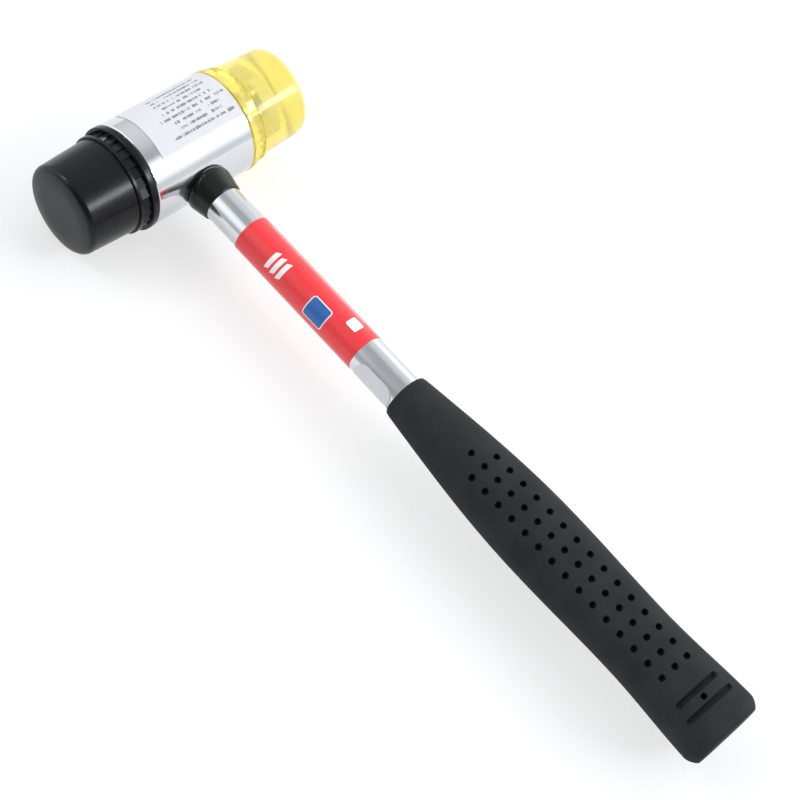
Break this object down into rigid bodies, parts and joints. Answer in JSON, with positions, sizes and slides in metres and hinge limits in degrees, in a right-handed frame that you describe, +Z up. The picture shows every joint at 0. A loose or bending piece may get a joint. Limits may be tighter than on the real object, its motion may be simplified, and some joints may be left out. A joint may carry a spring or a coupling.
{
  "type": "soft face hammer",
  "caption": "Soft face hammer with a plated head, screw-on faces of black rubber and clear yellow plastic, a plated tube handle with label and a dimpled rubber grip.",
  "frame": {"origin": "on the surface that the hammer lies on, under the middle of its length and width", "axes": "+Z up; the handle runs along Y with the head at +Y; the head runs along X with the yellow face at +X and the black face at -X"},
  "size_m": [0.098, 0.2924, 0.0388],
  "materials": {
    "plated_head": "bright chrome plate over a light alloy body",
    "plated_tube": "bright chrome plate over steel tube",
    "black_rubber": "moulded hard rubber, satin",
    "yellow_plastic": "moulded clear yellow plastic, polished",
    "stud_steel": "zinc plated steel",
    "washer_fibre": "pressed fibre",
    "collar_rubber": "moulded rubber, satin",
    "grip_rubber": "moulded soft rubber, matt",
    "red_film": "printed vinyl film",
    "white_paper": "coated paper sticker"
  },
  "bodies": {
    "hammer": {"head_body": "plated_head", "neck_collar": "collar_rubber", "handle_tube": "plated_tube", "tube_plug": "stud_steel", "grip": "grip_rubber", "shaft_label": "red_film", "shaft_tag": "white_paper", "head_label": "white_paper"},
    "black_washer": {"black_face_washer": "washer_fibre"},
    "black_face": {"black_face": "black_rubber", "black_face_stud": "stud_steel"},
    "yellow_washer": {"yellow_face_washer": "washer_fibre"},
    "yellow_face": {"yellow_face": "yellow_plastic", "yellow_face_stud": "stud_steel"}
  },
  "joints": [
    {"name": "black_face_travel", "type": "slide", "parent": "hammer", "child": "black_washer", "axis": [-1, 0, 0], "range_m": [0, 0.01]},
    {"name": "black_face_turn", "type": "hinge", "parent": "black_washer", "child": "black_face", "pos_m": [-0.0213, 0.1268, 0.0194], "axis": [-1, 0, 0], "range_deg": [0, 2880]},
    {"name": "yellow_face_travel", "type": "slide", "parent": "hammer", "child": "yellow_washer", "axis": [1, 0, 0], "range_m": [0, 0.01]},
    {"name": "yellow_face_turn", "type": "hinge", "parent": "yellow_washer", "child": "yellow_face", "pos_m": [0.0213, 0.1268, 0.0194], "axis": [1, 0, 0], "range_deg": [0, 2880]}
  ],
  "couplings": [
    {"joint": "black_face_travel", "follows": "black_face_turn", "m_per_rad": 0.00019894},
    {"joint": "yellow_face_travel", "follows": "yellow_face_turn", "m_per_rad": 0.00019894}
  ]
}
